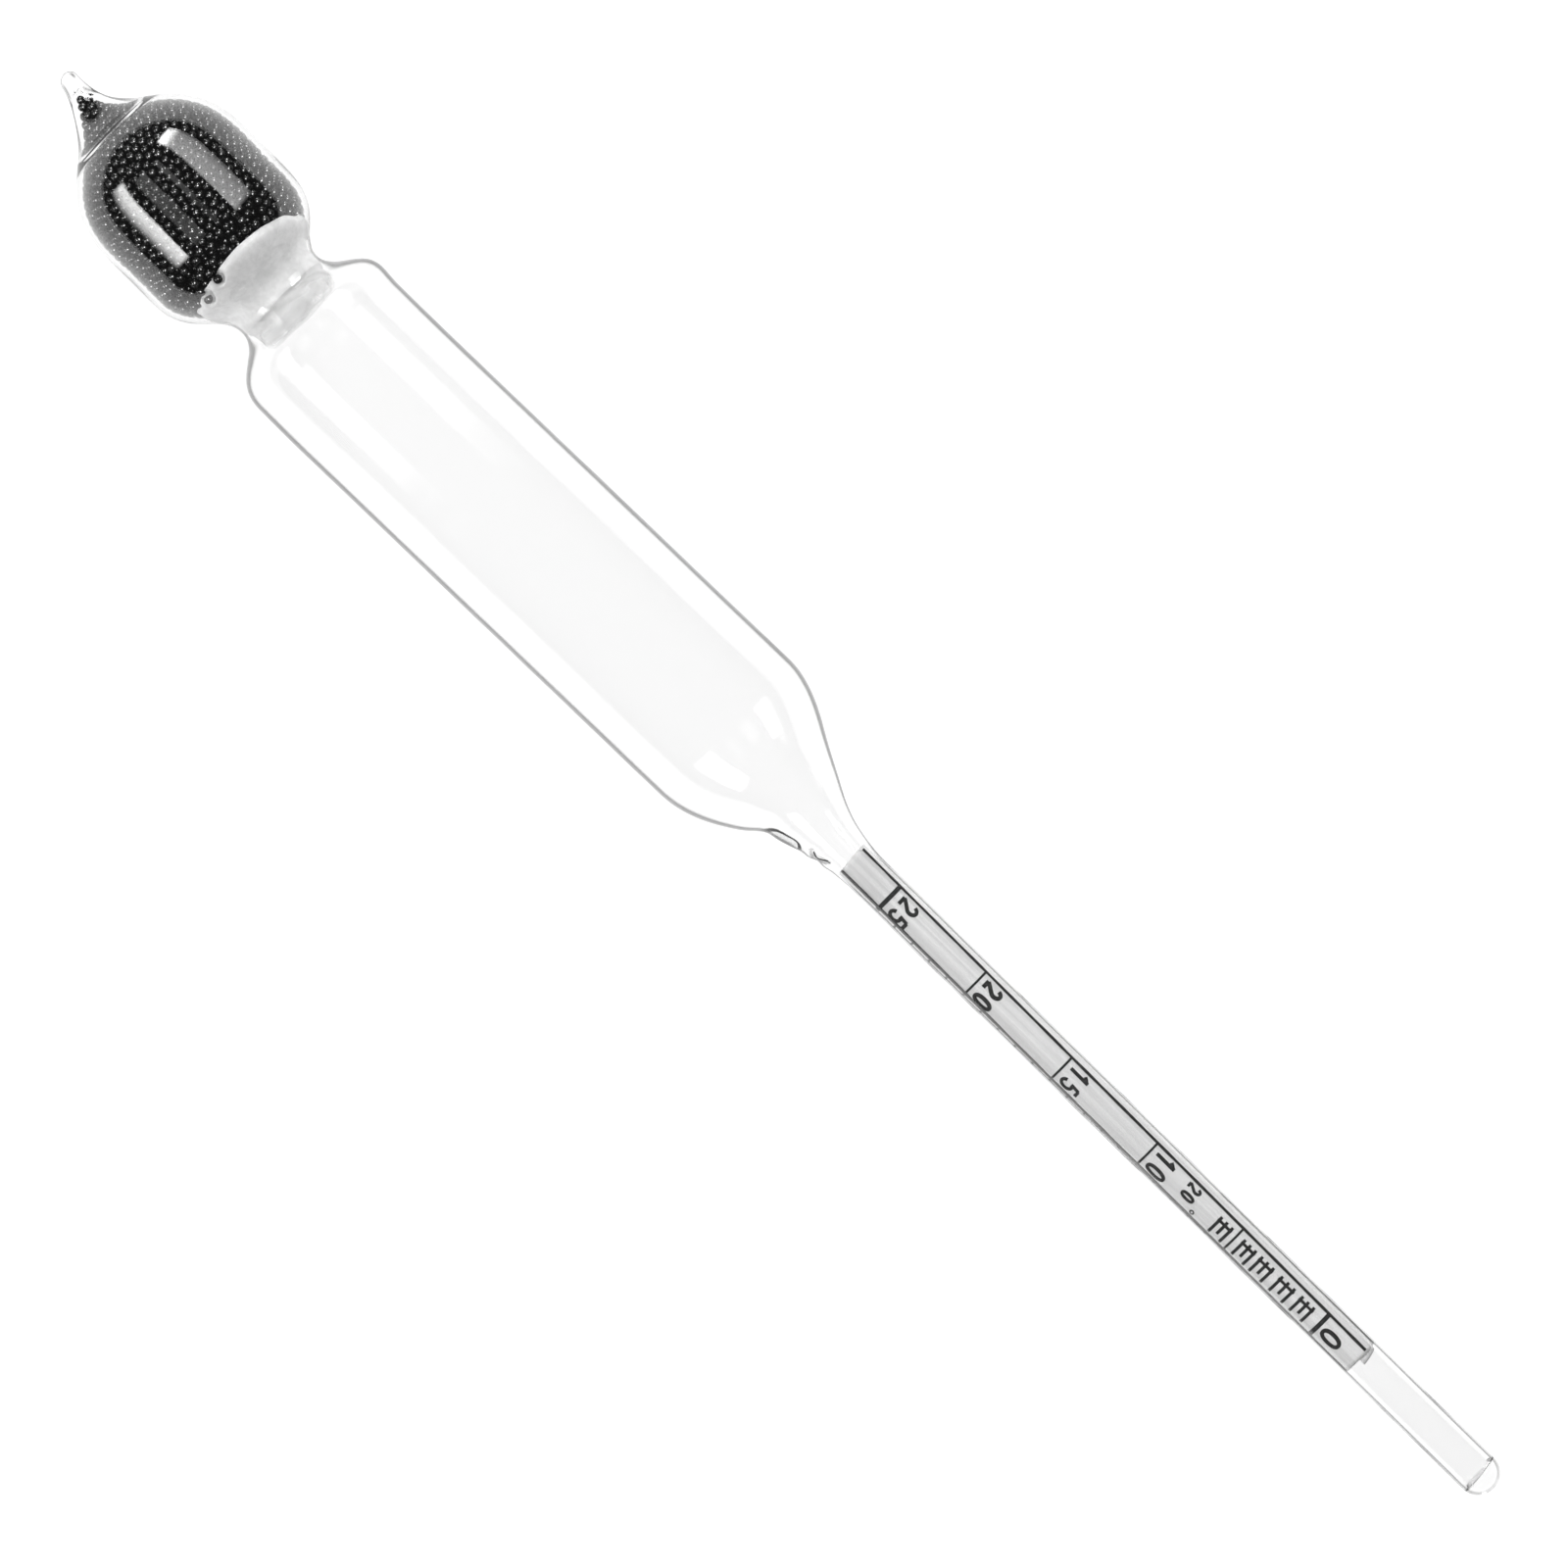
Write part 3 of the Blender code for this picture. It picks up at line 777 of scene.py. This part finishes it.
def make_card():
    """A sheet rolled a little over once, its free edge on the -Y side, its ends cut unevenly."""
    columns, rows = 220, 150
    unrolled = np.linspace(CARD_START, CARD_FINISH, columns)
    low = CARD_BOTTOM + 0.16 * np.sin(np.radians(unrolled + 30))
    low = low + 0.05 * wave(0, np.radians(unrolled), 21)
    lap = np.clip((unrolled - LAP_START) / 3, 0, 1) * (0.35 + 0.006 * (unrolled - LAP_START))
    high = CARD_TOP + 0.05 * wave(0, np.radians(unrolled), 22) + lap
    fraction = np.linspace(0, 1, rows)[:, None]
    x = low + (high - low) * fraction
    angle = np.radians(unrolled + column_centre(x))
    r = card_radius(unrolled) + 0.012 * wave(x, angle, 23, longest=60, shortest=20, most_turns=9)
    outer = place(x, angle, r, True).reshape(-1, 3)
    inner = place(x, angle, r - CARD_THICKNESS, True).reshape(-1, 3)
    count = len(outer)
    sheet = ring_faces(rows, columns, open_ring=True)
    border = np.concatenate([
        np.arange(columns),
        np.arange(1, rows) * columns + columns - 1,
        np.arange(columns - 2, -1, -1) + (rows - 1) * columns,
        np.arange(rows - 2, 0, -1) * columns,
    ])
    ahead = np.roll(border, -1)
    rim = np.concatenate([
        np.stack([border, border + count, ahead], 1),
        np.stack([ahead, border + count, ahead + count], 1),
    ])
    faces = np.concatenate([sheet, sheet[:, ::-1] + count, rim])
    points = np.concatenate([outer, inner])
    # The painted shade at the card's lowest end, on both faces.
    painted_low_shade = np.tile(smooth_table(CARD_LOW_SHADE, x).ravel(), 2)
    faces = turned_out(points, faces)
    card = add_mesh("paper_scale", points, faces, paper_material(), floats={"painted_low_shade": painted_low_shade})
    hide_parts("scale_card")
    return card


def stroke(path, width):
    """The left and right edges of a ribbon along a path, in millimetres on the flat card."""
    path = np.asarray(path, float)
    along = np.gradient(path, axis=0)
    along /= np.linalg.norm(along, axis=1)[:, None]
    side = np.stack([-along[:, 1], along[:, 0]], 1) * np.asarray(width).reshape(-1, 1) / 2
    return path + side, path - side


def straight(start, end):
    """Points on a straight stroke."""
    return np.linspace(start, end, 12)


def elbow(centre, half_width, half_height, from_degrees, to_degrees, pieces=26, power=1.0):
    """Points on an oval. Angles count anticlockwise from the right."""
    turn = np.radians(np.linspace(from_degrees, to_degrees, pieces))
    c, s = np.cos(turn), np.sin(turn)
    return np.stack([
        centre[0] + half_width * np.sign(c) * np.abs(c) ** power,
        centre[1] + half_height * np.sign(s) * np.abs(s) ** power,
    ], 1)


def digit_strokes(character):
    """Strokes of a numeral in a box 1 wide and 1 high, each as path and relative thickness."""
    if character == "0":
        return [(elbow((0.5, 0.5), 0.38, 0.43, 90, 450, 60, 0.85), 1.0)]
    if character == "1":
        return [(straight((0.5, 0.0), (0.5, 1.0)), 1.0), (straight((0.1, 0.7), (0.48, 0.93)), 1.0)]
    if character == "2":
        hook = elbow((0.5, 0.68), 0.36, 0.25, 170, -28, 26)
        slope = np.linspace(hook[-1], (0.14, 0.08), 12)[1:]
        return [(np.concatenate([hook, slope]), 1.0), (straight((0.1, 0.065), (0.9, 0.065)), 1.0)]
    if character == "5":
        bowl = elbow((0.46, 0.33), 0.4, 0.27, 118, -160, 34)
        return [
            (straight((0.22, 0.935), (0.84, 0.935)), 1.0),
            (straight((0.24, 0.95), (0.17, 0.5)), 0.9),
            (bowl, 1.0),
        ]
    return []


def add_ribbons(ribbons):
    """Lays ribbons on the card's outer face. A ribbon is its left and right edge, in degrees and stations."""
    points, faces, start = [], [], 0
    for left, right in ribbons:
        count = len(left)
        stacked = np.stack([left, right], 1).reshape(-1, 2)
        for lift in (0.03, 0.012):
            angle = np.radians(stacked[:, 0] + column_centre(stacked[:, 1]))
            points.append(place(stacked[:, 1], angle, card_radius(stacked[:, 0]) + lift, True))
        low = start + 2 * np.arange(count - 1)
        high = low + 2
        under = 2 * count
        quads = [
            (low, low + 1, high + 1, high),
            (low + under, high + under, high + 1 + under, low + 1 + under),
            (low, high, high + under, low + under),
            (low + 1, low + 1 + under, high + 1 + under, high + 1),
        ]
        end = start + 2 * (count - 1)
        quads.append(tuple(np.array([v]) for v in (start, start + under, start + under + 1, start + 1)))
        quads.append(tuple(np.array([v]) for v in (end, end + 1, end + under + 1, end + under)))
        for a, b, c, d in quads:
            faces.append(np.stack([a, b, c], 1))
            faces.append(np.stack([a, c, d], 1))
        start += 4 * count
    return np.concatenate(points), np.concatenate(faces)


def degrees_across(length):
    """The angle that a length takes up round the card."""
    return np.degrees(length / CARD_RADIUS)


def vertical_rule(at, low, high, width):
    """A printed line along the card, a little uneven in width."""
    x = np.linspace(low, high, 90)
    half = degrees_across(width) / 2 * (1 + 0.12 * wave(x, 0, int(at) + 400, longest=6, shortest=1.5))
    return np.stack([at - half, x], 1), np.stack([at + half, x], 1)


def cross_line(x, low, high, width):
    """A printed line across the card, between two angles."""
    at = np.linspace(low, high, 30)
    upper, lower = np.full(30, x + width / 2), np.full(30, x - width / 2)
    return np.stack([at, upper], 1), np.stack([at, lower], 1)


def apparent_angles(centre_mm, width_mm, x):
    """The card angles of the two sides of a mark, given where they seem to be from straight above."""
    sides = centre_mm + np.array([-0.5, 0.5]) * width_mm
    return np.degrees(np.arcsin(np.clip(sides / CARD_RADIUS, -1, 1))) - column_centre(x)


def number(text, centre_mm, width_mm, x_low, x_high, weight):
    """A printed number, placed by its apparent sideways middle and width when seen from straight above."""
    edges = apparent_angles(centre_mm, width_mm, (x_low + x_high) / 2)
    span = (edges[1] - edges[0]) / len(text)
    height = x_high - x_low
    ribbons = []
    for index, character in enumerate(text):
        for path, relative in digit_strokes(character):
            box = np.array([np.radians(span) * CARD_RADIUS * 0.94, height])
            flat = (path * (1 - weight / box) + weight / box / 2) * box
            left, right = stroke(flat, weight * relative)
            offset = edges[0] + span * (index + 0.03)
            ribbons.append(tuple(
                np.stack([offset + degrees_across(side[:, 0]), x_low + side[:, 1]], 1)
                for side in (left, right)
            ))
    return ribbons


def degree_ring():
    """The small ring after the standard temperature."""
    x, across, radius = DEGREE_RING
    middle = math.degrees(math.asin(across / CARD_RADIUS)) - column_centre(x)
    path = elbow((0.0, 0.0), radius, radius, 0, 360, 24)
    return tuple(
        np.stack([middle + degrees_across(side[:, 0]), x + side[:, 1]], 1) for side in stroke(path, 0.15)
    )


def filler_mark(low, high):
    """Three bars and a rule across them, in the place of a printed character."""
    edges = apparent_angles(FILLER_CENTRE, FILLER_WIDTH, (low + high) / 2)
    ribbons = []
    for share, reach in ((0.14, 1.0), (0.5, 0.75), (0.86, 1.0)):
        end = edges[0] + (edges[1] - edges[0]) * reach
        ribbons.append(cross_line(low + (high - low) * share, edges[0], end, 0.34))
    ribbons.append(vertical_rule(edges[0] + 12, low + 0.1, high - 0.1, 0.3))
    return ribbons


def make_print():
    """The scale: long rules, a full line every five units, short unit marks, numbers and filler marks."""
    left, right = -COLUMN_HALF, COLUMN_HALF
    ribbons = [
        vertical_rule(left, RULE_START, 190.2, 0.33),
        vertical_rule(right, RULE_START, 190.3, 0.43),
        vertical_rule(EDGE_RULE, 168.0, 190.35, 0.5),
    ]
    for count in range(26):
        x = ZERO_LINE - SCALE_UNIT * count
        if count % 5:
            ribbons.append(cross_line(x, right, right + 21, 0.24))
        else:
            ribbons.append(cross_line(x, left - 1, right + 12, 0.5 if count in (0, 25) else 0.26))
    for entry in NUMBERS:
        ribbons += number(*entry)
    ribbons.append(degree_ring())
    for low, high in FILLER_MARKS:
        ribbons += filler_mark(low, high)
    points, faces = add_ribbons(ribbons)
    return add_mesh("printed_scale", points, faces, ink_material(), smooth=False)


# ---------------------------------------------------------------- light and camera

# Metres, as the stage is not part of the instrument.
PANEL_HEIGHT = 0.5
FLOOR_HALF = 3.0
FLOOR_GAP = 0.0003
FLOOR_GLOW = 0.98
WORLD_GLOW = 0.06

# The view, in millimetres and degrees: its width, its centre and its turn about the vertical.
VIEW_WIDTH = 163.75
VIEW_CENTRE = (0.6, 0.63)
VIEW_TURN = 44.435


def emitter(name, strength):
    """A glowing material, its node tree and its emission node."""
    material = bpy.data.materials.new(name)
    material.use_nodes = True
    tree = material.node_tree
    tree.nodes.clear()
    light = tree.nodes.new("ShaderNodeEmission")
    light.inputs["Strength"].default_value = strength
    out = tree.nodes.new("ShaderNodeOutputMaterial")
    tree.links.new(light.outputs["Emission"], out.inputs["Surface"])
    return material, tree, light


def stage_grid(name, low_edge, high_edge, material):
    """A flat stage piece between two edges, each a pair of points. u runs along them and v between them."""
    steps = 12
    u, v = np.meshgrid(np.linspace(0, 1, steps), np.linspace(0, 1, steps), indexing="ij")
    corners = np.array([low_edge, high_edge], float)
    near = corners[0, 0] + (corners[0, 1] - corners[0, 0]) * u[..., None]
    far = corners[1, 0] + (corners[1, 1] - corners[1, 0]) * u[..., None]
    points = (near + (far - near) * v[..., None]).reshape(-1, 3)
    first = (np.arange(steps - 1)[:, None] * steps + np.arange(steps - 1)).ravel()
    quads = np.stack([first, first + steps, first + steps + 1, first + 1], 1)
    mesh = bpy.data.meshes.new(name)
    mesh.from_pydata(points.tolist(), [], quads.tolist())
    for key, values in (("u", u), ("v", v)):
        mesh.attributes.new(key, "FLOAT", "POINT").data.foreach_set("value", values.ravel())
    mesh.materials.append(material)
    piece = bpy.data.objects.new(name, mesh)
    bpy.context.scene.collection.objects.link(piece)
    return piece


def light_panel(name, angles, inner_ends, outer_ends, strengths, side_fade, end_fades, tip_boost=1.0):
    """A softbox beside the camera, between two angles from straight up. Negative ones are on the +Y side."""
    material, tree, light = emitter(name, 1.0)
    along, across = attribute(tree, "u"), attribute(tree, "v")
    fade = ramp(tree, across, 0.0, 1.0, *strengths)
    fade = multiply(tree, fade, ramp(tree, across, 0.0, side_fade, 0.0, 1.0))
    fade = multiply(tree, fade, ramp(tree, along, 0.0, end_fades[0], 0.0, 1.0))
    fade = multiply(tree, fade, ramp(tree, along, 1.0, 1.0 - end_fades[1], 0.0, 1.0))
    fade = multiply(tree, fade, ramp(tree, along, 0.5, 0.15, 1.0, tip_boost))
    tree.links.new(fade, light.inputs["Strength"])
    edges = []
    for angle, ends in zip(angles, (inner_ends, outer_ends)):
        y = -PANEL_HEIGHT * math.tan(math.radians(angle))
        edges.append([(x, y, PANEL_HEIGHT) for x in ends])
    panel = stage_grid(name, edges[0], edges[1], material)
    panel.visible_camera = False
    return panel


def linked_light(name, receivers, size, place_at, brightness):
    """An area light for the given pieces only. The glass round them neither blocks it nor reflects it."""
    data = bpy.data.lights.new(name, "AREA")
    data.shape = "RECTANGLE"
    data.size, data.size_y = size
    data.energy = math.pi * data.size * data.size_y * brightness
    light = bpy.data.objects.new(name, data)
    light.location = place_at
    light.visible_camera = light.visible_transmission = False
    bpy.context.scene.collection.objects.link(light)
    group = bpy.data.collections.new(name + "_receivers")
    for obj in receivers:
        group.objects.link(obj)
    light.light_linking.receiver_collection = group
    light.light_linking.blocker_collection = group
    return light


def make_floor():
    """A pale floor that glows softly and takes a little light from the panels."""
    material, tree, light = emitter("floor_look", FLOOR_GLOW)
    diffuse = tree.nodes.new("ShaderNodeBsdfDiffuse")
    diffuse.inputs["Color"].default_value = (0.2, 0.2, 0.2, 1)
    both = tree.nodes.new("ShaderNodeAddShader")
    tree.links.new(light.outputs["Emission"], both.inputs[0])
    tree.links.new(diffuse.outputs["BSDF"], both.inputs[1])
    out = next(n for n in tree.nodes if n.type == "OUTPUT_MATERIAL")
    tree.links.new(both.outputs["Shader"], out.inputs["Surface"])
    level = CAD_LOW.z - FLOOR_GAP
    edges = [[(-FLOOR_HALF, y, level), (FLOOR_HALF, y, level)] for y in (-FLOOR_HALF, FLOOR_HALF)]
    stage_grid("floor", edges[0], edges[1], material)


def make_panels():
    """Two bright softboxes and two faint ones, whose reflections run along the bulb."""
    light_panel(
        "panel_right", (43.5, 69.5), (-0.68, -0.11), (-1.25, -0.155), (9.8, 0.5), 0.03, (0.2, 0.06)
    )
    light_panel(
        "panel_left", (-34.5, -68), (-0.72, -0.075), (-1.45, -0.11), (3.7, 2.0), 0.04, (0.16, 0.06), 6.0
    )
    light_panel("faint_right", (9.5, 28), (-0.4, -0.115), (-0.42, -0.12), (0.7, 0.7), 0.05, (0.15, 0.06))
    light_panel("faint_left", (-6.5, -13.6), (-0.4, -0.115), (-0.4, -0.115), (0.6, 0.6), 0.1, (0.15, 0.06))


def make_world():
    """A dim even surround."""
    world = bpy.data.worlds.new("studio")
    world.use_nodes = True
    background = next(n for n in world.node_tree.nodes if n.type == "BACKGROUND")
    background.inputs["Color"].default_value = (1, 1, 1, 1)
    background.inputs["Strength"].default_value = WORLD_GLOW
    bpy.context.scene.world = world


def make_camera():
    """Straight above the instrument, turned so that it lies across the frame from corner to corner."""
    data = bpy.data.cameras.new("camera")
    data.lens = 200
    data.sensor_width = 36
    distance = VIEW_WIDTH * MM * data.lens / data.sensor_width
    camera = bpy.data.objects.new("camera", data)
    height = CAD_LOW.z + BULB_RADIUS * MM + distance
    camera.location = (VIEW_CENTRE[0] * MM, VIEW_CENTRE[1] * MM, height)
    camera.rotation_euler = (0, 0, math.radians(VIEW_TURN))
    bpy.context.scene.collection.objects.link(camera)
    bpy.context.scene.camera = camera


def finish_cad_nodes():
    """The two dabs of glue stay as modelled, with a real finish."""
    finish = glue_material()
    for name in ("card_glue_bottom", "card_glue_top"):
        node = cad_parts[name]
        node.data.materials.clear()
        node.data.materials.append(finish)


make_glass()
shot = make_shot()
plug = make_plug()
card = make_card()
printed = make_print()
finish_cad_nodes()
make_floor()
make_panels()
make_world()
linked_light("fill_light", [plug, card, printed], (0.8, 0.5), (0, 0, PANEL_HEIGHT), 1.15)
linked_light("shot_light", shot, (0.07, 0.07), (-0.05, 0.015, PANEL_HEIGHT), 270.0)
make_camera()
bpy.context.scene.view_settings.view_transform = "Standard"
